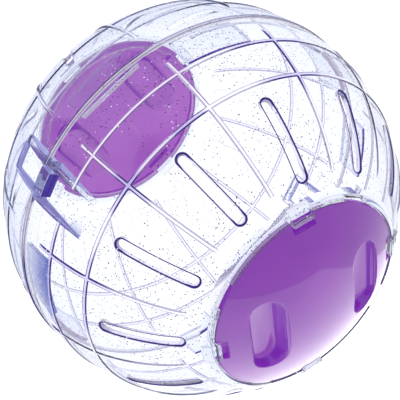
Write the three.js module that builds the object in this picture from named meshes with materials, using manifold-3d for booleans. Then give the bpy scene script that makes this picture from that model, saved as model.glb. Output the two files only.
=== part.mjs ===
// A pet exercise ball. Two clear half shells meet at an upright seam, and each half has a
// round coloured door lid in its side. Sizes are in millimetres and angles in degrees.
// The origin is the centre of the ball. The axis through both lids runs along Y, the front
// half lies on -Y and the rear half on +Y. A bearing is the angle round that axis, from +Z
// towards +X, and a latitude is the angle from the seam towards a lid.

import * as THREE from 'three';
import { mergeVertices } from 'three/addons/utils/BufferGeometryUtils.js';
import Module from 'manifold-3d';

// The ball and its wall
const ballRadius = 90;
const wallThickness = 2;
const ribHeight = 0.6;
const ringHeight = 0.5;
const ribWidth = 2;

// The pattern round each half
const patternCount = 12;
const ringLatitudes = [12.5, 25];
const ribLatitudes = [7.3, 51.8];
const slotLatitudes = [29.5, 52];
const slotWidth = 4.2;

// The seam and the clearances between pieces
const seamGap = 0.3;
const seamRimWidth = 1.1;
const seatGap = 0.3;
const sideGap = 0.4;

// The doorway in each half
const lidRadius = 45;
const lidEdgeHeight = 2.6;
const lidSkirtWidth = 2.4;
const ledgeWidth = 3.1;
const ledgeThickness = 2;
const collarWidth = 2.6;

// The finger pockets in each lid
const pocketLength = 38.5;
const pocketWidth = 14.5;
const pocketDepth = 7;
const pocketDraft = 1.4;
const pocketSpacing = 48.6;
const pocketWall = 1.6;

// The catches on each doorway and the notches that they pass through in the lid
const catchCount = 4;
const catchWidth = 9.6;
const catchReach = 1.8;
const catchLength = 6.2;
const catchHeight = 1.5;
const catchRoot = 1.2;
const notchDepth = 2.1;
const notchFloorLength = 2.8;
const notchFloorThickness = 1.5;
const notchWall = 1.6;
const entryAngle = 15;
const entryDepth = 1.5;
const entryOffset = 35.5;
const frontLidBearing = -7.3;
const rearLidBearing = -33.3;

// The laps: flat tongues on one half that reach inside the other
const lapCount = 4;
const lapAngle = 20;
const lapTipLatitude = 9.6;
const lapRootLatitude = 2.9;
const lapThickness = 1.8;
const lapGap = 0.6;
const rearLapBearing = 0;
const frontLapBearing = -30;

// The latches: a trough across the seam, with a hook of the rear half lying in it
const latchCount = 2;
const latchBearing = -60;
const troughDepth = 5.8;
const troughWall = 1.8;
const frontTroughWidth = 14.4;
const frontTroughCorner = 3;
const rearTroughWidth = 12.6;
const rearTroughLength = 22.5;
const rearTroughCorner = 1.5;
const hookWidth = 10.4;
const hookReach = 4.2;
const hookRoot = 2.2;
const hookSink = 0.5;

// How finely round shapes are cut, and how far a cutting shape runs past what it cuts
const roundSegments = 36;
const arcAngle = 11;
const cornerSegments = 3;
const cutMargin = 4;

const shellRadius = ballRadius - ribHeight;
const innerRadius = shellRadius - wallThickness;
const mouthRadius = lidRadius + sideGap;
const farOutside = ballRadius + catchHeight + cutMargin;

const wasm = await Module();
wasm.setup();

const radians = THREE.MathUtils.degToRad;
const degrees = THREE.MathUtils.radToDeg;

// Turns a closed geometry into a solid. A mirrored or backwards mesh is turned right side out.
function solidFrom(geometry) {
  const bare = geometry.clone();
  bare.deleteAttribute('normal');
  bare.deleteAttribute('uv');
  const merged = mergeVertices(bare, 1e-4);
  const positions = new Float32Array(merged.attributes.position.array);
  const corners = new Uint32Array(merged.index.array);
  const kept = [];
  let volume = 0;
  const a = new THREE.Vector3();
  const b = new THREE.Vector3();
  const c = new THREE.Vector3();
  for (let i = 0; i < corners.length; i += 3) {
    const [p, q, r] = [corners[i], corners[i + 1], corners[i + 2]];
    if (p === q || q === r || r === p) {
      continue;
    }
    a.fromArray(positions, p * 3);
    b.fromArray(positions, q * 3);
    c.fromArray(positions, r * 3);
    volume += a.dot(b.cross(c)) / 6;
    kept.push(p, q, r);
  }
  if (volume < 0) {
    for (let i = 0; i < kept.length; i += 3) {
      [kept[i], kept[i + 1]] = [kept[i + 1], kept[i]];
    }
  }
  return new wasm.Manifold(
    new wasm.Mesh({ numProp: 3, vertProperties: positions, triVerts: new Uint32Array(kept) }),
  );
}

function geometryFrom(solid) {
  const mesh = solid.getMesh();
  const geometry = new THREE.BufferGeometry();
  geometry.setAttribute('position', new THREE.BufferAttribute(mesh.vertProperties, 3));
  geometry.setIndex(new THREE.BufferAttribute(mesh.triVerts, 1));
  const faceted = geometry.toNonIndexed();
  faceted.computeVertexNormals();
  return faceted;
}

function joined(solids) {
  return solids.reduce((all, solid) => all.add(solid));
}

// Bearings of the copies of a feature, spread evenly round the axis.
function bearings(first, count) {
  return Array.from({ length: count }, (_, i) => first + (i * 360) / count);
}

// A point at a distance from the centre and a latitude, as (distance from axis, height).
function onSphere(radius, latitude) {
  const angle = radians(latitude);
  return new THREE.Vector2(radius * Math.cos(angle), radius * Math.sin(angle));
}

function heightOnSphere(radius, fromAxis) {
  return Math.sqrt(radius * radius - fromAxis * fromAxis);
}

function latitudeAt(radius, fromAxis) {
  return degrees(Math.acos(fromAxis / radius));
}

// Points along a sphere's outline, ends included.
function arcPoints(radius, from, to) {
  const steps = Math.max(1, Math.ceil(Math.abs(to - from) / arcAngle));
  return Array.from({ length: steps + 1 }, (_, i) => onSphere(radius, from + ((to - from) * i) / steps));
}

function turned(profile) {
  return solidFrom(new THREE.LatheGeometry(profile, roundSegments));
}

function closedRing(points) {
  return turned([...points, points[0].clone()]);
}

// A flat shape drawn as (distance from axis, height), given a width across the bearing.
function acrossBearing(shape, width, bearing) {
  const geometry = new THREE.ExtrudeGeometry(shape, {
    depth: width,
    bevelEnabled: false,
    curveSegments: cornerSegments,
  });
  geometry.translate(0, 0, -width / 2);
  geometry.rotateY(radians(bearing - 90));
  return solidFrom(geometry);
}

// A flat shape drawn as (across, along the axis), carried outwards from a distance.
function outwards(shape, from, to, bearing, latitude = 0) {
  const geometry = new THREE.ExtrudeGeometry(shape, {
    depth: to - from,
    bevelEnabled: false,
    curveSegments: cornerSegments,
  });
  geometry.translate(0, 0, from);
  geometry.rotateX(radians(-latitude));
  geometry.rotateY(radians(bearing));
  return solidFrom(geometry);
}

// A flat shape drawn with its x axis along the bearing, carried up the ball's axis. The
// sides lean out by the draft over the height of the draft.
function upwards(shape, from, to, bearing, draft = 0, draftHeight = 1) {
  const geometry = new THREE.ExtrudeGeometry(shape, {
    depth: to - from - (draft > 0 ? draftHeight : 0),
    bevelEnabled: draft > 0,
    bevelThickness: draftHeight,
    bevelSize: draft,
    bevelSegments: 1,
    curveSegments: cornerSegments,
  });
  geometry.translate(0, 0, from + (draft > 0 ? draftHeight : 0));
  geometry.rotateX(-Math.PI / 2);
  geometry.rotateY(radians(bearing - 90));
  return solidFrom(geometry);
}

function outline(points) {
  return new THREE.Shape(points);
}

// A rectangle with round corners.
function panel(left, right, bottom, top, corner) {
  const shape = new THREE.Shape();
  shape.moveTo(left + corner, bottom);
  shape.lineTo(right - corner, bottom);
  shape.absarc(right - corner, bottom + corner, corner, -Math.PI / 2, 0);
  shape.absarc(right - corner, top - corner, corner, 0, Math.PI / 2);
  shape.absarc(left + corner, top - corner, corner, Math.PI / 2, Math.PI);
  shape.absarc(left + corner, bottom + corner, corner, Math.PI, Math.PI * 1.5);
  shape.closePath();
  return shape;
}

function rectangle(left, right, bottom, top) {
  return outline([
    new THREE.Vector2(left, bottom),
    new THREE.Vector2(right, bottom),
    new THREE.Vector2(right, top),
    new THREE.Vector2(left, top),
  ]);
}

// A slot with round ends, lying along x.
function stadium(centreX, centreY, length, width) {
  const half = (length - width) / 2;
  const shape = new THREE.Shape();
  shape.moveTo(centreX - half, centreY - width / 2);
  shape.lineTo(centreX + half, centreY - width / 2);
  shape.absarc(centreX + half, centreY, width / 2, -Math.PI / 2, Math.PI / 2);
  shape.lineTo(centreX - half, centreY + width / 2);
  shape.absarc(centreX - half, centreY, width / 2, Math.PI / 2, Math.PI * 1.5);
  shape.closePath();
  return shape;
}

// A wedge of a circle between two distances from the axis, centred on x.
function ringSector(inner, outer, span) {
  const half = radians(span) / 2;
  const shape = new THREE.Shape();
  shape.absarc(0, 0, outer, -half, half);
  shape.absarc(0, 0, inner, half, -half, true);
  shape.closePath();
  return shape;
}

// The solid ball up to a distance from the centre, on one side of the seam.
function halfBall(radius) {
  const pole = new THREE.Vector2(0, radius);
  const rim = arcPoints(radius, 0, 90).slice(0, -1);
  return turned([new THREE.Vector2(0, 0), ...rim, pole]);
}

// The lid's rim meets the ball's own curve, and stands on a ledge inside the doorway.
const rimHeight = heightOnSphere(shellRadius, lidRadius);
const lidFoot = rimHeight - lidEdgeHeight;
const ledgeTop = lidFoot - seatGap;
const ledgeInner = mouthRadius - ledgeWidth;
const ledgeBottom = ledgeTop - ledgeThickness;

// The wall of a half: raised rim at the seam, raised rings, collar, doorway and ledge.
function halfWall() {
  const seam = seamGap / 2;
  const seamLatitude = degrees(Math.asin((seam + seamRimWidth) / shellRadius));
  const ringHalf = degrees(ribWidth / 2 / shellRadius);
  const ringRadius = shellRadius + ringHeight;
  const points = [
    new THREE.Vector2(ballRadius, seam),
    new THREE.Vector2(ballRadius, seam + seamRimWidth),
  ];
  let latitude = seamLatitude;
  for (const ring of ringLatitudes) {
    points.push(...arcPoints(shellRadius, latitude, ring - ringHalf));
    points.push(onSphere(ringRadius, ring - ringHalf), onSphere(ringRadius, ring + ringHalf));
    latitude = ring + ringHalf;
  }
  const collarLatitude = latitudeAt(shellRadius, mouthRadius + collarWidth);
  points.push(...arcPoints(shellRadius, latitude, collarLatitude));
  points.push(
    onSphere(ballRadius, collarLatitude),
    new THREE.Vector2(mouthRadius, heightOnSphere(ballRadius, mouthRadius)),
    new THREE.Vector2(mouthRadius, ledgeTop),
    new THREE.Vector2(ledgeInner, ledgeTop),
    new THREE.Vector2(ledgeInner, ledgeBottom),
  );
  const ledgeLatitude = degrees(Math.asin(ledgeBottom / innerRadius));
  points.push(...arcPoints(innerRadius, ledgeLatitude, degrees(Math.asin(seam / innerRadius))));
  return closedRing(points);
}

function rib(bearing) {
  const [from, to] = ribLatitudes;
  const sunk = shellRadius - wallThickness / 2;
  const shape = outline([...arcPoints(ballRadius, from, to), ...arcPoints(sunk, to, from)]);
  return acrossBearing(shape, ribWidth, bearing);
}

// An air slot runs from lid to seam, and is cut straight through the wall at its middle.
function slotCutter(bearing) {
  const [from, to] = slotLatitudes;
  const halfSpan = radians(to - from) / 2;
  const shape = stadium(0, 0, 2 * shellRadius * Math.sin(halfSpan), slotWidth);
  const upright = outline(shape.getPoints(cornerSegments).map((p) => new THREE.Vector2(p.y, p.x)));
  const deepest = innerRadius * Math.cos(halfSpan) - cutMargin;
  return outwards(upright, deepest, farOutside, bearing, (from + to) / 2);
}

// A catch stands on the collar, and its nose reaches in over the lid's notch.
function catchBlock(bearing) {
  const nose = mouthRadius - catchReach;
  const heel = nose + catchLength;
  const top = shellRadius + catchHeight;
  const root = shellRadius - catchRoot;
  const shape = outline([
    ...arcPoints(top, latitudeAt(top, heel), latitudeAt(top, nose)),
    ...arcPoints(root, latitudeAt(root, nose), latitudeAt(root, heel)),
  ]);
  return acrossBearing(shape, catchWidth, bearing);
}

// The doorway widens in short arcs beside the catches.
function entryCutter(bearing) {
  const shape = ringSector(mouthRadius - entryDepth, mouthRadius + entryDepth, entryAngle);
  return upwards(shape, ledgeTop, ballRadius, bearing);
}

// Tongues of one half, which reach past the seam on the inside of the other half's wall.
function lapTongues(first) {
  const outer = innerRadius - lapGap;
  const inner = outer - lapThickness;
  const seam = seamGap / 2;
  const joint = innerRadius + wallThickness / 2;
  const root = degrees(Math.asin(seam / joint));
  const ring = closedRing([
    ...arcPoints(outer, -lapTipLatitude, root),
    ...arcPoints(joint, root, lapRootLatitude),
    ...arcPoints(inner, lapRootLatitude, -lapTipLatitude),
  ]);
  const wedge = ringSector(onSphere(inner, lapTipLatitude).x - cutMargin, farOutside, lapAngle);
  const wedges = bearings(first, lapCount).map((bearing) =>
    upwards(wedge, -farOutside, farOutside, bearing),
  );
  return ring.intersect(joined(wedges));
}

const troughFloor = shellRadius - troughDepth;

// The pocket that a latch trough is sunk into, kept under the ball's surface.
function troughBody(width, length, bearing) {
  const half = width / 2 + troughWall;
  const shape = rectangle(-half, half, seamGap / 2, length + troughWall);
  const block = outwards(shape, troughFloor - troughWall, farOutside, bearing);
  return block.intersect(halfBall(shellRadius - wallThickness / 2));
}

function troughCutter(width, length, corner, bearing) {
  const shape = panel(-width / 2, width / 2, -length, length, corner);
  return outwards(shape, troughFloor, farOutside, bearing);
}

// The hook is drawn from the rear half's side: its root is above the seam, its tip below.
function hook(bearing) {
  const shape = rectangle(-hookWidth / 2, hookWidth / 2, -hookReach, hookRoot);
  const top = heightOnSphere(shellRadius, hookWidth / 2) - hookSink;
  return outwards(shape, troughFloor - hookSink, top, bearing);
}

// Past the seam the hook stays clear of the front trough's floor.
function hookClearance(bearing) {
  const half = hookWidth / 2 + cutMargin;
  const shape = rectangle(-half, half, -hookReach - cutMargin, seamGap / 2);
  return outwards(shape, troughFloor - cutMargin, troughFloor + seatGap, bearing);
}

// The front trough runs out where its flat floor meets the ball's surface.
const frontTroughLength = Math.sqrt(shellRadius * shellRadius - troughFloor * troughFloor);

// A half shell, built on the +Y side. lidBearing turns its catches to match its lid.
function halfShell(lidBearing, lapBearing, isRear) {
  const troughWidth = isRear ? rearTroughWidth : frontTroughWidth;
  const troughLength = isRear ? rearTroughLength : frontTroughLength;
  const troughCorner = isRear ? rearTroughCorner : frontTroughCorner;
  const latches = bearings(latchBearing, latchCount);
  const catches = bearings(lidBearing, catchCount);
  const added = [
    halfWall(),
    ...bearings(180 / patternCount, patternCount).map(rib),
    ...catches.map(catchBlock),
    ...latches.map((bearing) => troughBody(troughWidth, troughLength, bearing)),
    lapTongues(lapBearing),
  ];
  const cut = [
    ...bearings(0, patternCount).map(slotCutter),
    ...catches.map((bearing) => entryCutter(bearing + entryOffset)),
    ...latches.map((bearing) => troughCutter(troughWidth, troughLength, troughCorner, bearing)),
  ];
  const shell = joined(added).subtract(joined(cut));
  if (!isRear) {
    return shell;
  }
  const hooks = latches.map((bearing) => hook(bearing).subtract(hookClearance(bearing)));
  return joined([shell, ...hooks]);
}

// Places that a lid's pockets take, to either side of its middle.
const pocketSides = [-pocketSpacing / 2, pocketSpacing / 2];
const pocketFloor = heightOnSphere(shellRadius, pocketSpacing / 2) - pocketDepth;

function pocketSolid(offset, bearing, wall) {
  const growth = 2 * (wall - pocketDraft);
  const shape = stadium(0, offset, pocketLength + growth, pocketWidth + growth);
  return upwards(shape, pocketFloor - wall, farOutside, bearing, pocketDraft, pocketDepth);
}

function notchBody(bearing) {
  const half = (catchWidth + 2 * sideGap) / 2 + notchWall;
  const inner = lidRadius - catchReach - notchFloorLength - notchWall;
  const shape = rectangle(inner, lidRadius - sideGap, -half, half);
  return upwards(shape, lidFoot, rimHeight + notchDepth, bearing);
}

function notchCutters(bearing) {
  const half = (catchWidth + 2 * sideGap) / 2;
  const step = lidRadius - catchReach;
  const outer = lidRadius + cutMargin;
  const pocket = rectangle(step - notchFloorLength, outer, -half, half);
  const passage = rectangle(step, outer, -half, half);
  return [
    upwards(pocket, lidFoot + notchFloorThickness, ballRadius, bearing),
    upwards(passage, lidFoot - cutMargin, ballRadius, bearing),
  ];
}

// A door lid, built on the +Y side: a dome with a short skirt, two sunk finger pockets side
// by side, and four notches in its rim.
function lid(bearing) {
  const rimLatitude = latitudeAt(shellRadius, lidRadius);
  const skirtInner = lidRadius - lidSkirtWidth;
  const dome = arcPoints(shellRadius, 90, rimLatitude).slice(1);
  const inside = arcPoints(innerRadius, latitudeAt(innerRadius, skirtInner), 90).slice(0, -1);
  const pole = new THREE.Vector2(0, shellRadius);
  const foot = new THREE.Vector2(lidRadius, lidFoot);
  const cap = turned([
    pole,
    ...dome,
    foot,
    new THREE.Vector2(skirtInner, lidFoot),
    ...inside,
    new THREE.Vector2(0, innerRadius),
  ]);
  const filled = turned([pole, ...dome, foot, new THREE.Vector2(0, lidFoot)]);
  const notches = bearings(bearing, catchCount);
  const bodies = joined([
    ...pocketSides.map((offset) => pocketSolid(offset, bearing, pocketWall)),
    ...notches.map(notchBody),
  ]).intersect(filled);
  const cuts = joined([
    ...pocketSides.map((offset) => pocketSolid(offset, bearing, 0)),
    ...notches.flatMap(notchCutters),
  ]);
  return cap.add(bodies).subtract(cuts);
}

const clearPlastic = new THREE.MeshStandardMaterial({
  color: 0xe6e9f5,
  roughness: 0.05,
  metalness: 0,
  transparent: true,
  opacity: 0.3,
});
const purplePlastic = new THREE.MeshStandardMaterial({
  color: 0x8a45b4,
  roughness: 0.15,
  metalness: 0,
});

// Pieces of the front half are made on +Y and mirrored through the seam.
function piece(name, solid, material, isFront) {
  const geometry = geometryFrom(isFront ? solid.mirror([0, 1, 0]) : solid);
  const mesh = new THREE.Mesh(geometry, material.clone());
  mesh.name = name;
  return mesh;
}

const ball = new THREE.Group();
const frontHalf = new THREE.Group();
const rearHalf = new THREE.Group();
frontHalf.add(
  piece('front_half_shell', halfShell(frontLidBearing, frontLapBearing, false), clearPlastic, true),
  piece('front_door_lid', lid(frontLidBearing), purplePlastic, true),
);
rearHalf.add(
  piece('rear_half_shell', halfShell(rearLidBearing, rearLapBearing, true), clearPlastic, false),
  piece('rear_door_lid', lid(rearLidBearing), purplePlastic, false),
);
ball.add(frontHalf, rearHalf);

export default ball;
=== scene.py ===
# A clear exercise ball for a small pet, made of two half shells with a purple door lid in
# each side. Lengths are in metres and angles in degrees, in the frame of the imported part: the
# origin is the centre of the ball, the axis through both lids runs along Y, and +Z is up.
import bmesh
import bpy
import numpy as np
from mathutils import Matrix, Vector


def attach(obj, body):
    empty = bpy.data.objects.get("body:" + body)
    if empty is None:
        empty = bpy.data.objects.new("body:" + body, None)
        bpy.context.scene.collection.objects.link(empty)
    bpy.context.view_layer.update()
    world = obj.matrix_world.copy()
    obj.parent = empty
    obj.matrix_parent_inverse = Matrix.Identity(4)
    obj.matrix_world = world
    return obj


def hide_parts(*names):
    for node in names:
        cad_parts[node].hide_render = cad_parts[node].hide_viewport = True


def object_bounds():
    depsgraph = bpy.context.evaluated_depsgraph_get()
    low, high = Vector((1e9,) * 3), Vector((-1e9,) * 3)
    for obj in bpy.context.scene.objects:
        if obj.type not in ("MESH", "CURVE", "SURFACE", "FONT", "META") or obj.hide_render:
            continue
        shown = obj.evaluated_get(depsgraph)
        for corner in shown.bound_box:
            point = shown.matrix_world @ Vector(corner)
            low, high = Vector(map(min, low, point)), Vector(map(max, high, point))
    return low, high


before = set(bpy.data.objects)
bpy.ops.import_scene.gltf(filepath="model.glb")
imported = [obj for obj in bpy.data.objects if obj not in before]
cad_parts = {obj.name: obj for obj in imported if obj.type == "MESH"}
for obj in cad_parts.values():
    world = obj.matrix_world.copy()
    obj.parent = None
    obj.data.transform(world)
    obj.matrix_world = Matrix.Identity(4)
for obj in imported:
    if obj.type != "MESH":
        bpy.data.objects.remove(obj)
cad_low, cad_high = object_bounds()
ball_radius = cad_high.x

# The studio: a flat pale floor under the ball and a wide white sky. The camera looks down on
# the front half from its left. It stands five ball radii away, which the spacing of the
# rings and ribs in the photograph gives.
camera_azimuth = np.radians(-33.0)
camera_elevation = np.radians(38.9)
camera_roll = np.radians(-0.8)
camera_distance = 4.96 * ball_radius
camera_lens = 87.3
camera_sensor = 36
camera_clip = 0.01
frame_pixels = 400
ball_centre_pixel = (202.3, 198.3)

across = Vector((np.cos(camera_azimuth), np.sin(camera_azimuth), 0))
back = Vector((
    np.sin(camera_azimuth) * np.cos(camera_elevation),
    -np.cos(camera_azimuth) * np.cos(camera_elevation),
    np.sin(camera_elevation),
))
upwards = back.cross(across)
right = across * np.cos(camera_roll) + upwards * np.sin(camera_roll)
turn = Matrix((right, back.cross(right), back)).transposed()

camera = bpy.data.objects.new("camera", bpy.data.cameras.new("camera"))
camera.data.lens = camera_lens
camera.data.sensor_width = camera_sensor
camera.data.shift_x = (frame_pixels / 2 - ball_centre_pixel[0]) / frame_pixels
camera.data.shift_y = (ball_centre_pixel[1] - frame_pixels / 2) / frame_pixels
camera.data.clip_start = camera_clip
camera.matrix_world = Matrix.Translation(back * camera_distance) @ turn.to_4x4()
bpy.context.scene.collection.objects.link(camera)
bpy.context.scene.camera = camera
bpy.context.scene.view_settings.view_transform = "Standard"

sky_colour = (0.98, 0.98, 1.0)
sky_strength = 1.3
world = bpy.data.worlds.new("studio")
world.use_nodes = True
world.node_tree.nodes["Background"].inputs["Color"].default_value = (*sky_colour, 1)
world.node_tree.nodes["Background"].inputs["Strength"].default_value = sky_strength
bpy.context.scene.world = world

# A flat lamp lies on the floor before the ball and faces up. Only glossy surfaces show it, as
# the white sheet that the photograph's front lid mirrors.
sheet_low = (-0.2, -0.385)
sheet_high = (0.17, -0.025)
sheet_lift = 0.0005
sheet_glow = 1.12
lamp = bpy.data.lights.new("sheet", "AREA")
lamp.shape = "RECTANGLE"
lamp.size, lamp.size_y = (high - low for low, high in zip(sheet_low, sheet_high))
lamp.energy = sheet_glow * np.pi * lamp.size * lamp.size_y
sheet = bpy.data.objects.new("sheet", lamp)
sheet.matrix_world = Matrix.Translation((
    (sheet_low[0] + sheet_high[0]) / 2, (sheet_low[1] + sheet_high[1]) / 2, cad_low.z + sheet_lift,
)) @ Matrix.Rotation(np.pi, 4, "X")
sheet.visible_camera = sheet.visible_diffuse = sheet.visible_transmission = False
bpy.context.scene.collection.objects.link(sheet)

floor_half = 3.0
floor_colour = (0.97, 0.97, 0.98, 1)
floor_roughness = 0.9
floor_mesh = bpy.data.meshes.new("floor")
floor_mesh.from_pydata(
    [(x * floor_half, y * floor_half, cad_low.z) for x, y in ((-1, -1), (1, -1), (1, 1), (-1, 1))],
    [], [(0, 1, 2, 3)],
)
floor = bpy.data.objects.new("floor", floor_mesh)
floor_paper = bpy.data.materials.new("floor_paper")
floor_paper.use_nodes = True
paper = floor_paper.node_tree.nodes["Principled BSDF"]
paper.inputs["Base Color"].default_value = floor_colour
paper.inputs["Roughness"].default_value = floor_roughness
floor_mesh.materials.append(floor_paper)
bpy.context.scene.collection.objects.link(floor)


# The front half shell: one moulding of clear polystyrene with fine dark glitter in it. The
# wall has raised rings, ribs and a rim at the seam, air slots, a collar with four catches
# round the doorway, four tongues that lap inside the rear half, and two latch troughs.
wall_thickness = 0.002
ridge_width = 0.002
ridge_height = 0.0006
ring_height = 0.0005
rim_width = 0.0011
shell_radius = ball_radius - ridge_height
inner_radius = shell_radius - wall_thickness
seam_gap = 0.0003
pattern_count = 12
ring_latitudes = (12.5, 25.0)
rib_latitudes = (7.3, 51.8)
first_rib_bearing = 15
first_slot_bearing = 0
slot_latitudes = (29.5, 52.0)
slot_width = 0.0042
slot_middle = sum(slot_latitudes) / 2
slot_straight = (np.radians(slot_latitudes[1] - slot_latitudes[0]) * shell_radius - slot_width) / 2
slot_draft = 0.0003
mouth_radius = 0.0454
collar_width = 0.0026
ledge_width = 0.0031
ledge_thickness = 0.002
ledge_top = 0.07435
catch_count = 4
catch_width = 0.0096
catch_reach = 0.0018
catch_length = 0.0062
catch_height = 0.0015
catch_root = 0.0012
entry_span = 15
entry_depth = 0.0015
entry_offset = 35.5
front_lid_bearing = -7.3
lap_count = 4
lap_span = 20
lap_reach = 9.6
lap_root = (0.5, 1.3)
lap_thickness = 0.0018
lap_gap = 0.0006
front_lap_bearing = -30
latch_bearings = (-60, 120)
trough_depth = 0.0058
trough_wall = 0.0018
front_trough_width = 0.0144
front_trough_corner = 0.003
edge_round = 0.0003
edge_start = edge_round * 0.3
turn_steps = 180
arc_degrees = 2.0
first_plain_latitude = 2
rib_rows = 31
trough_rows = 13
spread_points = 9
lap_rows = 13
beyond = 0.004
hair = 1e-5
thinnest = 1e-4


def around(distance, height, bearing, side):
    """Points at a distance from the ball's axis and a height above the seam, at a bearing in
    degrees round the axis from +Z towards +X. Side is -1 for the front and +1 for the rear."""
    angle = np.radians(bearing)
    parts = np.broadcast_arrays(distance * np.sin(angle), side * height, distance * np.cos(angle))
    return np.stack(parts, -1)


def on_ball(radius, latitude, bearing, side):
    """Points at a distance from the centre: latitude in degrees from the seam towards the lid."""
    tilt = np.radians(latitude)
    return around(radius * np.cos(tilt), radius * np.sin(tilt), bearing, side)


def arc(radius, start, end):
    """A ball's outline as (distance from axis, height), from one latitude to another."""
    steps = max(2, int(np.ceil(abs(end - start) / arc_degrees)) + 1)
    tilt = np.radians(np.linspace(start, end, steps))
    return np.stack([radius * np.cos(tilt), radius * np.sin(tilt)], -1)


def height_at(radius, distance):
    """The height of a ball's skin above the seam, at a distance from the axis."""
    return np.sqrt(radius ** 2 - distance ** 2)


def latitude_at(radius, distance):
    """The latitude in degrees at which a ball's skin is at a distance from the axis."""
    return np.degrees(np.arccos(distance / radius))


def solid(rows, ring=False):
    """A closed skin over a grid: each row is an outline that closes on itself. The rows join
    in order, and the first and last are capped, or joined to each other in a ring."""
    count, size = rows.shape[:2]
    bands = count if ring else count - 1
    row, column = np.meshgrid(np.arange(bands), np.arange(size), indexing="ij")
    after, beside = (row + 1) % count, (column + 1) % size
    faces = np.stack([row * size + column, after * size + column,
                      after * size + beside, row * size + beside], -1).reshape(-1, 4).tolist()
    if not ring:
        last = (count - 1) * size
        faces += [list(range(size)), list(range(last, last + size))]
    return rows.reshape(-1, 3), faces


def make(name, solids):
    """One object of several closed skins, their poles merged and their faces turned outwards."""
    points, faces, start = [], [], 0
    for corners, skin in solids:
        points.append(corners)
        faces += [[start + corner for corner in face] for face in skin]
        start += len(corners)
    mesh = bpy.data.meshes.new(name)
    mesh.from_pydata(np.concatenate(points), [], faces)
    edit = bmesh.new()
    edit.from_mesh(mesh)
    bmesh.ops.remove_doubles(edit, verts=edit.verts, dist=1e-6)
    bmesh.ops.recalc_face_normals(edit, faces=edit.faces)
    edit.to_mesh(mesh)
    edit.free()
    made = bpy.data.objects.new(name, mesh)
    bpy.context.scene.collection.objects.link(made)
    return made


def combine(piece, solids, operation):
    """Joins closed skins to a piece, or cuts them out of it."""
    other = make("tool", solids)
    modifier = piece.modifiers.new("combine", "BOOLEAN")
    modifier.object = other
    modifier.operation = operation
    modifier.solver = "MANIFOLD"
    seen = piece.evaluated_get(bpy.context.evaluated_depsgraph_get())
    joined = bpy.data.meshes.new_from_object(seen)
    piece.modifiers.clear()
    piece.data = joined
    bpy.data.objects.remove(other)


crease_degrees = 35
on_skin_within = 0.00009
on_skin_lean = 0.985


def shade_round(piece, radii):
    """Smooth shading that keeps edges sharper than the crease. On faces that lie on a ball of
    one of these radii, corners take the ball's own direction as their normal."""
    mesh = piece.data
    mesh.polygons.foreach_set("use_smooth", np.ones(len(mesh.polygons), bool))
    mesh.set_sharp_from_angle(angle=np.radians(crease_degrees))
    normals = np.empty(len(mesh.loops) * 3, np.float32)
    mesh.corner_normals.foreach_get("vector", normals)
    normals = normals.reshape(-1, 3)
    points = np.empty(len(mesh.vertices) * 3, np.float32)
    mesh.vertices.foreach_get("co", points)
    corner = np.empty(len(mesh.loops), np.int32)
    mesh.loops.foreach_get("vertex_index", corner)
    places = points.reshape(-1, 3)[corner]
    totals = np.empty(len(mesh.polygons), np.int32)
    mesh.polygons.foreach_get("loop_total", totals)
    facing = np.empty(len(mesh.polygons) * 3, np.float32)
    mesh.polygon_normals.foreach_get("vector", facing)
    facing = np.repeat(facing.reshape(-1, 3), totals, axis=0)
    distance = np.linalg.norm(places, axis=1)
    outwards = places / distance[:, None]
    lean = np.einsum("ij,ij->i", outwards, facing)
    near = np.min(np.abs(distance[:, None] - np.array(radii)[None, :]), axis=1) < on_skin_within
    on = near & (np.abs(lean) > on_skin_lean)
    normals[on] = outwards[on] * np.sign(lean[on])[:, None]
    mesh.normals_split_custom_set(normals)


ridge_power = 2.2
rib_end_power = 24
half_offsets = np.array([0.35, 0.7, 0.9, 0.985, 1])
ridge_offsets = np.concatenate([-half_offsets[::-1], [0], half_offsets]) * ridge_width / 2
rim_offsets = ridge_offsets * rim_width / ridge_width


def ridge(offset, width, height):
    """The height of a moulded ridge at an offset from its middle: nearly half an ellipse,
    with a slightly flatter top."""
    share = np.clip(np.abs(offset) / (width / 2), 0, 1)
    return height * np.sqrt(1 - share ** ridge_power)


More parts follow.
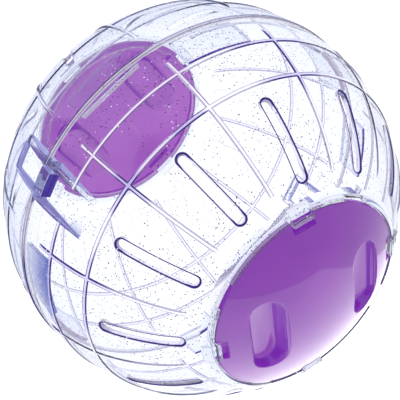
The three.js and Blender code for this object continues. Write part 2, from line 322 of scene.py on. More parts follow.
def half_wall(side):
    """The wall of a half: an outline of rim, rings, collar, doorway and ledge turned round
    the axis. A ring is the ridge's height added to the shell's radius along the latitude."""
    seam = seam_gap / 2
    rim = np.degrees(np.arcsin(seam / shell_radius) + (rim_offsets - rim_offsets[0]) / shell_radius)
    rings = [ring + np.degrees(ridge_offsets / shell_radius) for ring in ring_latitudes]
    collar = latitude_at(shell_radius, mouth_radius + collar_width)
    plain = np.arange(first_plain_latitude, collar, arc_degrees)
    for ridge_latitudes in rings:
        plain = plain[(plain < ridge_latitudes[0]) | (plain > ridge_latitudes[-1])]
    latitudes = np.concatenate([rim, plain, *rings, [collar]])
    heights = np.concatenate([
        ridge(rim_offsets, rim_width, ridge_height),
        np.zeros(len(plain)),
        *[ridge(ridge_offsets, ridge_width, ring_height) for _ in rings],
        [0],
    ])
    order = np.argsort(latitudes)
    tilt, radius = np.radians(latitudes[order]), shell_radius + heights[order]
    outside = np.stack([radius * np.cos(tilt), radius * np.sin(tilt)], -1)
    lip = height_at(ball_radius, mouth_radius)
    collar_foot = mouth_radius + collar_width
    ledge_inner = mouth_radius - ledge_width
    doorway = np.array([
        [collar_foot - edge_start, height_at(ball_radius - edge_start, collar_foot)],
        [collar_foot - edge_round, height_at(ball_radius, collar_foot - edge_round)],
        [mouth_radius + edge_round, height_at(ball_radius, mouth_radius + edge_round)],
        [mouth_radius + edge_start, lip - edge_start],
        [mouth_radius, lip - edge_round],
        [mouth_radius, ledge_top],
        [ledge_inner + edge_round, ledge_top],
        [ledge_inner, ledge_top - edge_round],
        [ledge_inner, ledge_top - ledge_thickness],
    ])
    inside = arc(inner_radius, np.degrees(np.arcsin((ledge_top - ledge_thickness) / inner_radius)),
                 np.degrees(np.arcsin(seam / inner_radius)))
    outline = np.concatenate([outside, doorway, inside])
    bearings = np.arange(turn_steps) * 360 / turn_steps
    return solid(around(outline[None, :, 0], outline[None, :, 1], bearings[:, None], side), ring=True)


def rib(bearing, side):
    """A ridge carried along a meridian. Its height falls away steeply at both ends, and its
    foot is sunk half way into the wall."""
    share = np.linspace(0, 1, rib_rows)[:, None]
    latitude = rib_latitudes[0] + (rib_latitudes[1] - rib_latitudes[0]) * share
    offset = np.concatenate([ridge_offsets, ridge_offsets[[-1, 0]]])[None, :]
    height = ridge(ridge_offsets, ridge_width, ridge_height)
    ending = np.sqrt(1 - np.abs(2 * share - 1) ** rib_end_power)
    radius = shell_radius + np.concatenate([height, [-0.5 * wall_thickness] * 2])[None, :]
    radius = np.where(radius > shell_radius, shell_radius + (radius - shell_radius) * ending, radius)
    lean = np.degrees(offset / (shell_radius * np.cos(np.radians(latitude))))
    return solid(on_ball(radius, latitude, bearing + lean, side))


def slot_cutter(bearing, side):
    """An air slot with round ends that lies along a meridian. Its outline is carried through
    the wall towards the centre, narrows by the mould's draft, and flares at both faces."""
    turn_round = np.radians(np.arange(0, 360, 12) + 6)
    radius = np.array([inner_radius - beyond, inner_radius - hair, inner_radius + edge_round,
                       shell_radius - edge_round, shell_radius + hair, shell_radius + beyond])[:, None]
    growth = np.array([-slot_draft, -slot_draft, -slot_draft, 0, edge_round, edge_round])
    reach = slot_width / 2 + growth[:, None]
    along = slot_straight * np.sign(np.sin(turn_round)) + reach * np.sin(turn_round)
    sideways = reach * np.cos(turn_round)
    latitude = slot_middle + np.degrees(along / shell_radius)
    lean = np.degrees(sideways / (shell_radius * np.cos(np.radians(latitude))))
    return solid(on_ball(radius, latitude, bearing + lean, side))


def lap_tongue(bearing, side):
    """A flat tongue that reaches past the seam inside the other half: two arcs with a round
    tip, carried round the axis. Its root in its own wall is a lens, deepest in the middle."""
    outer = inner_radius - lap_gap
    inner = outer - lap_thickness
    joint = inner_radius + wall_thickness / 2
    tip = np.degrees(edge_round / outer) - lap_reach
    turn = np.linspace(-1, 1, lap_rows)[:, None]
    root = lap_root[0] + (lap_root[1] - lap_root[0]) * (1 - turn ** 2)
    seam = np.degrees(np.arcsin(seam_gap / 2 / joint))
    share = np.linspace(0, 1, 6)[None, :]
    latitude = np.concatenate([
        np.full(turn.shape, -lap_reach), tip + (seam - tip) * share + 0 * turn,
        seam + (root - seam) * share, root + (tip - root) * share, np.full(turn.shape, -lap_reach),
    ], 1)
    radius = np.repeat([outer - edge_round, outer, joint, inner, inner + edge_round], [1, 6, 6, 6, 1])
    return solid(on_ball(radius[None, :], latitude, bearing + turn * lap_span / 2, side))


def beside_bearing(sideways, outwards, height, bearing, side):
    """Points measured from the axis along a bearing, square to it, and above the seam."""
    angle = np.radians(bearing)
    parts = np.broadcast_arrays(
        outwards * np.sin(angle) + sideways * np.cos(angle),
        side * height,
        outwards * np.cos(angle) - sideways * np.sin(angle),
    )
    return np.stack(parts, -1)


middle_radius = shell_radius - wall_thickness / 2
trough_floor = shell_radius - trough_depth
trough_body_share = 0.97
corner_share = 0.999
front_trough_length = height_at(shell_radius, trough_floor)


def trough_body(width, length, bearing, side):
    """The pocket that a latch trough is sunk into: a flat underside below the wall, carried
    from the seam along Y, with its upper side half way through the wall. It ends a little
    short of where the two meet."""
    half = width / 2 + trough_wall
    under = trough_floor - trough_wall
    reach = min(length + trough_wall, trough_body_share * height_at(middle_radius, under))
    height = np.linspace(seam_gap / 2, reach, trough_rows)[:, None]
    spread = np.linspace(-half, half, spread_points)[None, :]
    top = np.sqrt(middle_radius ** 2 - height ** 2 - spread ** 2)
    below = np.array([half, half - edge_round, edge_round - half, -half])[None, :]
    bottom = np.array([edge_round, 0, 0, edge_round])[None, :] + under
    bottom = np.minimum(np.repeat(bottom, trough_rows, 0), top[:, :1] - thinnest)
    sideways = np.repeat(np.concatenate([spread, below], 1), trough_rows, 0)
    outwards = np.concatenate([top, bottom], 1)
    return solid(beside_bearing(sideways, outwards, height, bearing, side))


def trough_cutter(width, length, corner, bearing, side):
    """The hollow of a latch trough, with a flat floor along Y and round corners at its end:
    the half width shrinks there as a quarter circle does. The walls flare at the surface."""
    quarter = np.linspace(0, np.pi / 2, 7)
    ending = length - corner * (1 - np.cos(quarter[::-1]))
    height = np.concatenate([[-beyond, 0], ending])[:, None]
    along_corner = np.clip((ending - length + corner) / corner, 0, 1)
    half = np.full(height.shape, width / 2)
    half[2:, 0] -= corner * (1 - np.sqrt(1 - along_corner ** 2)) * corner_share
    surface = np.sqrt(shell_radius ** 2 - height ** 2 - half ** 2)
    top = np.full(height.shape, ball_radius + beyond)
    base = np.full(height.shape, trough_floor)
    lip = np.maximum(surface - edge_round, base + 2 * edge_round)
    left = [-half - edge_round, -half - edge_round, -half, -half, edge_round - half]
    sideways = np.concatenate(left + [-column for column in left[::-1]], 1)
    down = [top, lip + edge_round, lip, base + edge_round, base]
    outwards = np.concatenate(down + down[::-1], 1)
    return solid(beside_bearing(sideways, outwards, height, bearing, side))


def catch(bearing, side):
    """A catch: a block on the collar whose nose reaches in over the lid's notch. Its section
    follows the ball above and below, and is carried straight across the bearing."""
    nose = mouth_radius - catch_reach
    heel = nose + catch_length
    top, root = shell_radius + catch_height, shell_radius - catch_root
    distance = np.linspace(nose + edge_round, heel - edge_round, 5)
    section = np.concatenate([
        [[nose, height_at(root, nose)], [nose, height_at(top, nose) - edge_round]],
        np.stack([distance, height_at(top, distance)], -1),
        [[heel, height_at(top, heel) - edge_round], [heel, height_at(root, heel)]],
    ])
    half = catch_width / 2
    sideways = np.array([-half, edge_round - half, half - edge_round, half])[:, None]
    sunk = np.array([edge_round, 0, 0, edge_round])[:, None]
    middle = section.mean(0)
    shrink = 1 - sunk / (catch_length / 2)
    return solid(beside_bearing(
        sideways,
        middle[0] + (section[None, :, 0] - middle[0]) * shrink,
        middle[1] + (section[None, :, 1] - middle[1]) * shrink,
        bearing, side,
    ))


def entry_cutter(bearing, side):
    """A short arc beside each catch, in which the doorway is wider: a rectangle above the
    ledge, turned round the axis."""
    near, far = mouth_radius - entry_depth, mouth_radius + entry_depth
    section = np.array([[near, ledge_top], [far, ledge_top], [far, ball_radius], [near, ball_radius]])
    bearings = bearing + np.linspace(-entry_span / 2, entry_span / 2, spread_points)
    return solid(around(section[None, :, 0], section[None, :, 1], bearings[:, None], side))


def spread_round(first, count):
    """Bearings spaced evenly round the axis."""
    return [first + turn * 360 / count for turn in range(count)]


def half_shell(name, side, lid_bearing, lap_bearing, trough):
    """A whole half: the wall with all that is added to it, less all that is cut from it."""
    width, length, corner = trough
    catches = spread_round(lid_bearing, catch_count)
    shell = make(name, [half_wall(side)])
    added = [rib(bearing, side) for bearing in spread_round(first_rib_bearing, pattern_count)]
    added += [catch(bearing, side) for bearing in catches]
    added += [lap_tongue(bearing, side) for bearing in spread_round(lap_bearing, lap_count)]
    added += [trough_body(width, length, bearing, side) for bearing in latch_bearings]
    combine(shell, added, "UNION")
    cut = [slot_cutter(bearing, side) for bearing in spread_round(first_slot_bearing, pattern_count)]
    cut += [entry_cutter(bearing + entry_offset, side) for bearing in catches]
    cut += [trough_cutter(width, length, corner, bearing, side) for bearing in latch_bearings]
    combine(shell, cut, "DIFFERENCE")
    return shell


lap_radii = (inner_radius - lap_gap, inner_radius - lap_gap - lap_thickness)
shell_radii = (shell_radius, inner_radius, *lap_radii)
front_shell = half_shell("front_shell", -1, front_lid_bearing, front_lap_bearing,
                         (front_trough_width, front_trough_length, front_trough_corner))
shade_round(front_shell, shell_radii)


def add(nodes, kind, inputs=None, **settings):
    """A new shader node with these settings and inputs. An input that is given the output of
    another node is linked to it."""
    made = nodes.new(kind)
    for name, value in settings.items():
        setattr(made, name, value)
    for name, value in (inputs or {}).items():
        if isinstance(value, bpy.types.NodeSocket):
            nodes.id_data.links.new(value, made.inputs[name])
        else:
            made.inputs[name].default_value = value
    return made


clear_tone = (0.99, 0.99, 1.0, 1)
# Painted shade on cut faces: slot walls, seam faces, the collar's edges and ridge slopes, and the tips
# of laps and hooks.
slot_wall_shade = (0.14, 0.12, 0.5, 1)
seam_edge_shade = (0.3, 0.3, 0.55, 1)
edge_grey_shade = (0.3, 0.28, 0.4, 1)
tip_shade = (0.05, 0.03, 0.24, 1)
# Painted shade on laps within the stretches, and at their roots.
lap_shade_blue = (0.1, 0.14, 0.5, 1)
lap_root_shade = (0.38, 0.31, 0.44, 1)
# Painted shade: dark lines along the slots' outlines and round the doorway's edge.
edge_line_shade = (0.032, 0.016, 0.15, 1)
mouth_line_shade = (0.06, 0.05, 0.12, 1)
# Painted highlight on ridge tops, and painted shade on them within the stretches.
ridge_highlight = (0.95, 0.92, 1.0, 1)
ridge_top_shade = (0.62, 0.58, 0.84, 1)
dark_speck = (0.09, 0.08, 0.13, 1)
bright_speck = (0.95, 0.93, 1.0, 1)
depth_tone = (0.12, 0.26, 0.56, 1)
depth_density = 40.0
gloss_roughness = 0.01

# The two ends of each zone: leans of a face, distances from the centre, heights above the seam,
# distances from a line, and degrees.
flank_leans = (0.45, 0.9)
slope_leans = (0.94, 0.992)
tip_leans = (0.8, 0.95)
root_leans = (0.5, 0.8)
skin_radii = (shell_radius - 0.0007, shell_radius - 0.0004)
ridge_radii = (shell_radius + 0.00002, shell_radius + 0.00012)
lap_outer_radii = (inner_radius - 0.0003, inner_radius - 0.0005)
lap_inner_radii = (inner_radius - 0.003, inner_radius - 0.0026)
collar_heights = (0.0708, 0.072)
seam_heights = (0.036, 0.042)
root_heights = (0.004, 0.006)
tip_heights = (0.002, 0.003)
seam_face_heights = (0.0004, 0.0008)
mouth_lip = height_at(ball_radius, mouth_radius)
mouth_line_heights = (mouth_lip - 0.001, mouth_lip - 0.0007)
mouth_line_widths = (0.0002, 0.0004)
slot_line_widths = (0.00095 * 0.7, 0.00095)
slot_edge_widths = (0.001, 0.0015)
slot_end_degrees = 3.5
latch_degrees = (6.2, 7.2)
stretch_core = 0.6

# Shares of solid look, which lets the painted shade and painted highlights show, and of edge colour in
# it. A pair holds the share outside a zone and the one within it.
seam_shares, seam_tints = (0.3, 0.55), (0.6, 0.1)
latch_shares, latch_tints = (0.42, 0.92), (0.85, 1.0)
collar_share, collar_tint = 0.25, 0.4
tip_share = 0.85
slot_end_share = 0.5
lap_shade_share = 0.7
lap_root_share = 0.75
slope_shares = (0.35, 1.4)

speck_scale = 520.0
speck_size = 0.15
speck_share = 0.6
bright_from = 0.75
drift_scale = 45.0
drift_from = 0.46


def moulded_clear(name, side, bend, latch_edge_shade, slot_share, line_share, ridge_share, shade_stretches):
    """Clear plastic that bends light by a given index. Where it is cut or raised, part of it is made
    solid and carries painted shade and painted highlights. These stand in for light that the plastic
    bends and leads along inside itself there. The lean of a face is 1 where it follows the ball and 0
    where it is square to it. Faces square to it take an edge colour of painted shade: blue in slots,
    paler at the seam, the latch's own round the troughs, dark at the tips of laps and hooks, and grey at
    the collar. Dark lines of painted shade run round the slots and the doorway. Ridges are white on top,
    a painted highlight, and grey on their slopes, painted shade. Within the stretches, each a centre and
    reach, painted shade turns ridges dark and laps blue. Laps are grey at their roots, also painted
    shade, and the wall is full of specks. The three shares say how solid the slots' edges, the lines and
    the ridges look."""
    material = bpy.data.materials.new(name)
    material.use_nodes = True
    nodes = material.node_tree.nodes

    def reckon(operation, first, second=0.0):
        """One step of arithmetic on two values."""
        return add(nodes, "ShaderNodeMath", {0: first, 1: second}, operation=operation).outputs[0]

    def between(value, start, end, first=0.0, last=1.0):
        """A smooth step of a value from a start to an end."""
        return add(nodes, "ShaderNodeMapRange", {
            "Value": value, "From Min": start, "From Max": end, "To Min": first, "To Max": last,
        }, interpolation_type="SMOOTHSTEP").outputs[0]

    def blend(share, first, second):
        """A mix of two colours, all the first at a share of 0."""
        mix = add(nodes, "ShaderNodeMix", {"Factor": share, 6: first, 7: second}, data_type="RGBA")
        return mix.outputs[2]

    def level(share, first, second):
        """A mix of two values, all the first at a share of 0."""
        return add(nodes, "ShaderNodeMix", {"Factor": share, 2: first, 3: second}).outputs[0]

    def vector(operation, *inputs):
        """One step of arithmetic on vectors."""
        return add(nodes, "ShaderNodeVectorMath", dict(enumerate(inputs)), operation=operation).outputs

    def length(arrow):
        """How long a vector is."""
        return vector("LENGTH", arrow)["Value"]

    # A point's distances from the centre, the seam and the axis, and the lean of its face.
    place = add(nodes, "ShaderNodeTexCoord")
    point, facing = place.outputs["Object"], place.outputs["Normal"]
    outwards = vector("NORMALIZE", point)[0]
    lean = reckon("ABSOLUTE", vector("DOT_PRODUCT", outwards, facing)["Value"])
    distance = length(point)
    apart = add(nodes, "ShaderNodeSeparateXYZ", {0: point})
    height = reckon("ABSOLUTE", apart.outputs["Y"])
    from_axis = length(vector("MULTIPLY", point, (1, 0, 1))[0])
    latitude = reckon("ARCTAN2", height, from_axis)
    flank = between(lean, *flank_leans, 1, 0)
    skin = between(distance, *skin_radii)
    collar = between(height, *collar_heights)
    # Painted shade: the stretches are places where ridges turn dark and laps blue.
    dark = 0.0
    for centre, reach in shade_stretches:
        away = length(vector("SUBTRACT", point, centre)[0])
        dark = reckon("MAXIMUM", dark, between(away, reach * stretch_core, reach, 1, 0))

    # The distance from the nearest slot's outline is that from the slot's middle line, less
    # half the slot's width. The slots repeat round the axis.
    bearing = reckon("ARCTAN2", apart.outputs["X"], apart.outputs["Z"])
    sideways = reckon("MULTIPLY", reckon("PINGPONG", bearing, np.pi / pattern_count), from_axis)
    from_middle = reckon("ABSOLUTE", reckon("SUBTRACT", latitude, np.radians(slot_middle)))
    excess = reckon("SUBTRACT", reckon("MULTIPLY", from_middle, shell_radius), slot_straight)
    offset = add(nodes, "ShaderNodeCombineXYZ", {0: reckon("MAXIMUM", excess), 1: sideways})
    from_slot = reckon("SUBTRACT", length(offset.outputs[0]), slot_width / 2)
    slot_end = between(latitude, np.radians(slot_latitudes[0]),
                       np.radians(slot_latitudes[0] + slot_end_degrees), 1, 0)
    # Painted shade: a dark line along each slot's outline, and one round the doorway.
    slot_line = reckon("MULTIPLY", between(from_slot, *slot_line_widths, line_share, 0),
                       reckon("MAXIMUM", skin, reckon("MULTIPLY", slot_end, slot_end_share)))
    by_slot = between(from_slot, *slot_edge_widths, slot_share, 0)
    from_mouth = reckon("ABSOLUTE", reckon("SUBTRACT", from_axis, mouth_radius))
    mouth_line = reckon("MULTIPLY", between(from_mouth, *mouth_line_widths, line_share, 0),
                        between(height, *mouth_line_heights))
    line = reckon("MAXIMUM", slot_line, mouth_line)

    # Tips of laps and hooks lie past the seam and face away from their own half. Roots of laps face back
    # into it. The latches are told by their bearing. Each of these places takes painted shade.
    ahead = between(reckon("MULTIPLY", apart.outputs["Y"], -side), *tip_heights)
    facing_apart = add(nodes, "ShaderNodeSeparateXYZ", {0: facing})
    facing_ahead = reckon("MULTIPLY", facing_apart.outputs["Y"], -side)
    tip = reckon("MULTIPLY", ahead, between(facing_ahead, *tip_leans))
    lap = reckon("MULTIPLY", between(distance, *lap_outer_radii), between(distance, *lap_inner_radii))
    facing_back = reckon("MULTIPLY", facing_apart.outputs["Y"], side)
    root = reckon("MULTIPLY", lap, reckon("MULTIPLY", between(facing_back, *root_leans),
                                          between(height, *root_heights, 1, 0)))
    near_seam = between(height, *seam_heights, 1, 0)
    turned = reckon("SUBTRACT", bearing, np.radians(latch_bearings[0]))
    from_latch = reckon("PINGPONG", turned, np.pi / 2)
    latch = between(from_latch, *np.radians(latch_degrees), 1, 0)

    # The cut faces' colours of painted shade and how solid each looks, then the laps' painted shade and
    # the painted dark lines laid over them.
    cut_colour = blend(near_seam, slot_wall_shade, blend(latch, seam_edge_shade, latch_edge_shade))
    edge_colour = blend(collar, blend(tip, cut_colour, tip_shade), edge_grey_shade)
    at_seam = between(height, *seam_face_heights, 1, 0)
    seam_share = level(latch, level(at_seam, *seam_shares), level(skin, *latch_shares))
    cut_share = level(near_seam, by_slot, seam_share)
    edge_share = reckon("MULTIPLY", flank, level(collar, level(tip, cut_share, tip_share), collar_share))
    seam_tint = level(latch, level(at_seam, *seam_tints), level(skin, *latch_tints))
    cut_tint = level(near_seam, by_slot, seam_tint)
    tint_share = reckon("MULTIPLY", flank, level(collar, cut_tint, collar_tint))
    tint = reckon("MAXIMUM", tint_share, reckon("MULTIPLY", flank, tip))
    wall_colour = blend(tint, clear_tone, edge_colour)
    lap_in_shade = reckon("MULTIPLY", lap, dark)
    rooted_colour = blend(root, blend(lap_in_shade, wall_colour, lap_shade_blue), lap_root_shade)
    lined_colour = blend(line, rooted_colour, blend(collar, edge_line_shade, mouth_line_shade))
    lap_share = reckon("MAXIMUM", reckon("MULTIPLY", lap_in_shade, lap_shade_share),
                       reckon("MULTIPLY", root, lap_root_share))
    lined_share = reckon("MAXIMUM", reckon("MAXIMUM", edge_share, lap_share), line)

    # Ridges stand above the wall, outside the collar. Their slopes follow the ball less closely than
    # their tops do. Their tops take a painted highlight and their slopes painted shade; within the
    # stretches both take painted shade.
    ridge_here = reckon("MULTIPLY", between(distance, *ridge_radii), reckon("SUBTRACT", 1.0, collar))
    slope = between(lean, *slope_leans, 1, 0)
    top_colour = blend(dark, ridge_highlight, ridge_top_shade)
    ridge_colour = blend(slope, top_colour, blend(dark, edge_grey_shade, edge_line_shade))
    slope_share = level(slope, 1.0, level(dark, *slope_shares))
    share = level(ridge_here, lined_share, reckon("MULTIPLY", slope_share, ridge_share))
    colour = blend(ridge_here, lined_colour, ridge_colour)

    # Specks are the middles of cells, in drifts, and one in four is bright.
    cells = add(nodes, "ShaderNodeTexVoronoi", {"Vector": point, "Scale": speck_scale})
    drifts = add(nodes, "ShaderNodeTexNoise", {"Vector": point, "Scale": drift_scale})
    speck = reckon("MULTIPLY", reckon("LESS_THAN", cells.outputs["Distance"], speck_size),
                   reckon("GREATER_THAN", drifts.outputs["Fac"], drift_from))
    kind = add(nodes, "ShaderNodeSeparateXYZ", {0: cells.outputs["Color"]})
    bright = reckon("GREATER_THAN", kind.outputs["X"], bright_from)
    speck_colour = blend(bright, dark_speck, bright_speck)

    body = nodes["Principled BSDF"]
    body.inputs["Roughness"].default_value = gloss_roughness
    body.inputs["IOR"].default_value = bend
    links = material.node_tree.links
    links.new(blend(speck, colour, speck_colour), body.inputs["Base Color"])
    solid_share = level(speck, share, speck_share)
    links.new(reckon("SUBTRACT", 1.0, solid_share), body.inputs["Transmission Weight"])
    absorption = add(nodes, "ShaderNodeVolumeAbsorption", {
        "Color": depth_tone, "Density": depth_density,
    })
    links.new(absorption.outputs["Volume"], nodes["Material Output"].inputs["Volume"])
    return material


# The front half: painted edge shade, dark lines and ridge highlights at full strength, with five
# stretches of painted shade.
clear_plastic = moulded_clear(
    "clear_plastic", side=-1, bend=1.13, latch_edge_shade=(0.1, 0.09, 0.42, 1), slot_share=0.4,
    line_share=1.0, ridge_share=0.65, shade_stretches=(
        ((0.019, -0.027, 0.084), 0.025),
        ((-0.03, -0.039, 0.075), 0.01),
        ((-0.059, -0.0395, 0.055), 0.012),
        ((-0.084, -0.028, 0.014), 0.029),
        ((-0.088, 0, -0.012), 0.03),
    ),
)
front_shell.data.materials.clear()
front_shell.data.materials.append(clear_plastic)
front_shell.visible_shadow = front_shell.visible_diffuse = False
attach(front_shell, "front_half")
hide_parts("front_half_shell")


# The rear half shell is the same kind of moulding, with its laps and its narrower troughs
# turned round the axis. It also carries the two hooks that lie in the front half's troughs
# and hold the halves together.
rear_lid_bearing = -33.3
rear_lap_bearing = 0
rear_trough_width = 0.0126
rear_trough_length = 0.0225
rear_trough_corner = 0.0015
hook_width = 0.0104
hook_reach = 0.0042
hook_root = 0.0022
hook_sink = 0.0005


def hook(bearing):
    """A bar that crosses the seam: its top follows the ball, and past the seam it clears the
    front trough's floor. In its own half it is sunk a little into the floor."""
    half = hook_width / 2
    seam = -seam_gap / 2
    height = np.array([-hook_reach, edge_round - hook_reach, seam, seam, hook_root])[:, None]
    under = trough_floor + np.array([1, 1, 1, -1, -1])[:, None] * seam_gap
    spread = np.linspace(-half, half, spread_points)[None, :]
    sunk = np.array([edge_round, 0, 0, 0, 0])[:, None]
    top = np.sqrt(shell_radius ** 2 - spread ** 2) - hook_sink - sunk
    feet = np.array([half, -half])[None, :]
    sideways = np.repeat(np.concatenate([spread, feet], 1), len(height), 0)
    outwards = np.concatenate([top, np.repeat(under, 2, 1)], 1)
    return solid(beside_bearing(sideways, outwards, height, bearing, 1))


rear_shell = half_shell("rear_shell", 1, rear_lid_bearing, rear_lap_bearing,
                        (rear_trough_width, rear_trough_length, rear_trough_corner))
combine(rear_shell, [hook(bearing) for bearing in latch_bearings], "UNION")
shade_round(rear_shell, shell_radii)
# The rear half takes the same painted shade and painted highlights, much fainter, with one wide stretch
# of painted shade.
rear_plastic = moulded_clear(
    "rear_clear_plastic", side=1, bend=1.05, latch_edge_shade=(0.16, 0.16, 0.48, 1), slot_share=0.05,
    line_share=0.12, ridge_share=0.1, shade_stretches=(((-0.086, -0.055, 0.0), 0.064),),
)
rear_shell.data.materials.clear()
rear_shell.data.materials.append(rear_plastic)
rear_shell.visible_shadow = rear_shell.visible_diffuse = False
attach(rear_shell, "rear_half")
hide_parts("rear_half_shell")


# The door lids: domes of purple see-through polystyrene that finish the ball's own curve.
# Each has a short skirt, two sunk finger pockets side by side, and four notches in its rim
# that pass the catches.
lid_radius = 0.045
lid_edge_height = 0.0026
lid_skirt_width = 0.0024
pocket_length = 0.0385
pocket_width = 0.0145
pocket_depth = 0.007
pocket_draft = 0.0014
pocket_spacing = 0.0486
pocket_wall = 0.0016
pocket_foot = 0.0012
pocket_lip = 0.0007
lip_overshoot = 1.1
notch_floor_length = 0.0028
notch_floor_thickness = 0.0015
notch_wall = 0.0016
notch_overlap = 0.0012
side_gap = 0.0004
rim_height = height_at(shell_radius, lid_radius)
lid_foot = rim_height - lid_edge_height
pocket_floor = height_at(shell_radius, pocket_spacing / 2) - pocket_depth


def stadium(growth, centre):
    """The outline of a pocket seen along the axis: round ends along its length, grown
    outwards by an amount for each row."""
    turn_round = np.radians(np.arange(0, 360, 10) + 5)
    half = (pocket_length - pocket_width) / 2
    reach = pocket_width / 2 + growth
    along = half * np.sign(np.sin(turn_round)) + reach * np.sin(turn_round)
    return along, centre + reach * np.cos(turn_round)


def pocket(centre, bearing, side):
    """A finger pocket's hollow: a flat floor with a quarter circle as its foot, walls that
    lean out, and a round lip that follows the dome."""
    quarter = np.radians([0, 30, 60, 90])
    lift = pocket_foot * (1 - np.cos(quarter))
    inset = pocket_foot * (1 - np.sin(quarter))
    along, beside = stadium(-pocket_draft - inset[:, None], centre)
    floor_rows = np.broadcast_to(pocket_floor + lift[:, None], along.shape)
    grow = pocket_lip * np.array([0, 0.12, 0.45, 1])
    along_lip, beside_lip = stadium(grow[:, None], centre)
    dome = np.sqrt(shell_radius ** 2 - along_lip ** 2 - beside_lip ** 2)
    lip_rows = dome - grow[::-1, None]
    along_top, beside_top = stadium(np.array([[pocket_lip * lip_overshoot]]), centre)
    rows = np.concatenate([floor_rows, lip_rows, np.full(along_top.shape, ball_radius + beyond)])
    along = np.concatenate([along, along_lip, along_top])
    beside = np.concatenate([beside, beside_lip, beside_top])
    return solid(beside_bearing(beside, along, rows, bearing, side))


def pocket_shell(centre, bearing, side):
    """The wall round a pocket. It rises from a flat underside, leans out as the pocket does,
    and its top row lies half way through the dome's wall."""
    lean = pocket_wall - np.array([pocket_draft + edge_round, pocket_draft, pocket_draft / 2, 0])
    along, beside = stadium(lean[:, None], centre)
    under = pocket_floor - pocket_wall
    top = np.sqrt(middle_radius ** 2 - along[3:] ** 2 - beside[3:] ** 2)
    rows = np.concatenate([under + 0 * top, under + edge_round + 0 * top, (under + top) / 2, top])
    return solid(beside_bearing(beside, along, rows, bearing, side))


def block(outwards, height, half, bearing, side):
    """A straight block between two distances from the axis and two heights."""
    section = np.array([[outwards[0], height[0]], [outwards[1], height[0]],
                        [outwards[1], height[1]], [outwards[0], height[1]]])
    sideways = np.array([-half, half])[:, None]
    return solid(beside_bearing(sideways, section[None, :, 0], section[None, :, 1], bearing, side))


def door_lid(name, bearing, side):
    """A lid: an outline of dome, skirt and inside turned round the axis, with the pockets set
    in. Each notch has a floor and a wall behind it, and is cut down to the floor, and beyond
    the floor's edge right through."""
    rim_latitude = latitude_at(shell_radius, lid_radius - edge_round)
    skirt = lid_radius - lid_skirt_width
    outline = np.concatenate([
        arc(shell_radius, 90, rim_latitude),
        [[lid_radius - edge_start, rim_height - edge_start], [lid_radius, rim_height - edge_round]],
        [[lid_radius, lid_foot], [skirt, lid_foot]],
        arc(inner_radius, latitude_at(inner_radius, skirt), 90),
    ])
    bearings = np.arange(turn_steps) * 360 / turn_steps
    rows = around(outline[None, :, 0], outline[None, :, 1], bearings[:, None], side)
    lid = make(name, [solid(rows, ring=True)])
    half = catch_width / 2 + side_gap
    step = lid_radius - catch_reach
    inner = step - notch_floor_length - notch_wall
    sides = (-pocket_spacing / 2, pocket_spacing / 2)
    added = [pocket_shell(centre, bearing, side) for centre in sides]
    combine(lid, added, "UNION")
    cut = [pocket(centre, bearing, side) for centre in sides]
    box_end, box_top = skirt + notch_overlap, height_at(shell_radius, skirt) - notch_overlap
    notch_end, notch_floor = lid_radius + beyond, lid_foot + notch_floor_thickness
    for turn in spread_round(bearing, catch_count):
        box = block((inner, box_end), (lid_foot, box_top), half + notch_wall, turn, side)
        combine(lid, [box], "UNION")
        cut += [
            block((step - notch_floor_length, notch_end), (notch_floor, ball_radius), half, turn, side),
            block((step, notch_end), (lid_foot - beyond, ball_radius), half, turn, side),
        ]
    for solids in cut:
        combine(lid, [solids], "DIFFERENCE")
    shade_round(lid, (shell_radius, inner_radius))
    return lid


lid_bend = 1.3
lid_clearness = 0.5
coat_bend = 1.38
coat_roughness = 0.04
steep_leans = (0.35, 0.85)
cloud_scale = 38.0
cloud_detail = 4.0
grain_scale = 260.0
grain_detail = 3.0
grain_roughness = (0.36, 0.5)
grain_strength = 0.08
grain_depth = 0.0002


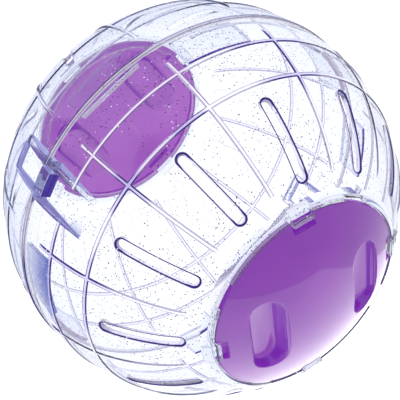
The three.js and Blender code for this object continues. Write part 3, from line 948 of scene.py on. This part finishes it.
def tinted_purple(name, dark, light, wall):
    """Purple see-through plastic whose colour drifts in clouds between a dark and a light tone. Faces
    that lean away from the ball, on the walls of pockets and notches, take a deeper tone that is painted
    shade. A smooth clear coat mirrors the room over a slightly rough body."""
    material = bpy.data.materials.new(name)
    material.use_nodes = True
    nodes = material.node_tree.nodes
    place = add(nodes, "ShaderNodeTexCoord")
    point = place.outputs["Object"]
    out = add(nodes, "ShaderNodeVectorMath", {0: point}, operation="NORMALIZE")
    lean = add(nodes, "ShaderNodeVectorMath", {0: out.outputs[0], 1: place.outputs["Normal"]},
               operation="DOT_PRODUCT")
    size = add(nodes, "ShaderNodeMath", {0: lean.outputs["Value"]}, operation="ABSOLUTE")
    steep = add(nodes, "ShaderNodeMapRange", {
        "Value": size.outputs[0], "From Min": steep_leans[0], "From Max": steep_leans[1],
        "To Min": 1, "To Max": 0,
    }, interpolation_type="SMOOTHSTEP")
    clouds = add(nodes, "ShaderNodeTexNoise",
                 {"Vector": point, "Scale": cloud_scale, "Detail": cloud_detail}).outputs["Fac"]
    dome = add(nodes, "ShaderNodeMix", {"Factor": clouds, 6: dark, 7: light}, data_type="RGBA")
    # Painted shade on the walls of pockets and notches.
    colour = add(nodes, "ShaderNodeMix", {"Factor": steep.outputs[0], 6: dome.outputs[2], 7: wall},
                 data_type="RGBA")
    grain = add(nodes, "ShaderNodeTexNoise",
                {"Vector": point, "Scale": grain_scale, "Detail": grain_detail}).outputs["Fac"]
    rough = add(nodes, "ShaderNodeMapRange", {
        "Value": grain, "To Min": grain_roughness[0], "To Max": grain_roughness[1],
    })
    ripple = add(nodes, "ShaderNodeBump", {
        "Strength": grain_strength, "Distance": grain_depth, "Height": grain,
    })
    shine = nodes["Principled BSDF"]
    shine.inputs["IOR"].default_value = lid_bend
    shine.inputs["Transmission Weight"].default_value = lid_clearness
    shine.inputs["Coat Weight"].default_value = 1.0
    shine.inputs["Coat IOR"].default_value = coat_bend
    shine.inputs["Coat Roughness"].default_value = coat_roughness
    links = material.node_tree.links
    links.new(colour.outputs[2], shine.inputs["Base Color"])
    links.new(rough.outputs[0], shine.inputs["Roughness"])
    links.new(ripple.outputs[0], shine.inputs["Normal"])
    return material


purple_plastic = tinted_purple("purple_plastic", (0.155, 0.003, 0.31, 1), (0.24, 0.018, 0.38, 1),
                               (0.16, 0.002, 0.36, 1))
# The rear lid's tones are painted lighter than the front lid's: painted light standing in for light that
# shines through it from behind.
rear_lit_purple = tinted_purple("rear_lit_purple_plastic", (0.27, 0.06, 0.4, 1), (0.42, 0.13, 0.53, 1),
                            (0.2, 0.015, 0.4, 1))
for name, lid_bearing, side, lid_plastic, lid_body, node_name in (
    ("front_lid", front_lid_bearing, -1, purple_plastic, "front_lid", "front_door_lid"),
    ("rear_lid", rear_lid_bearing, 1, rear_lit_purple, "rear_lid", "rear_door_lid"),
):
    lid = door_lid(name, lid_bearing, side)
    lid.data.materials.clear()
    lid.data.materials.append(lid_plastic)
    lid.visible_shadow = lid.visible_diffuse = False
    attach(lid, lid_body)
    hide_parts(node_name)
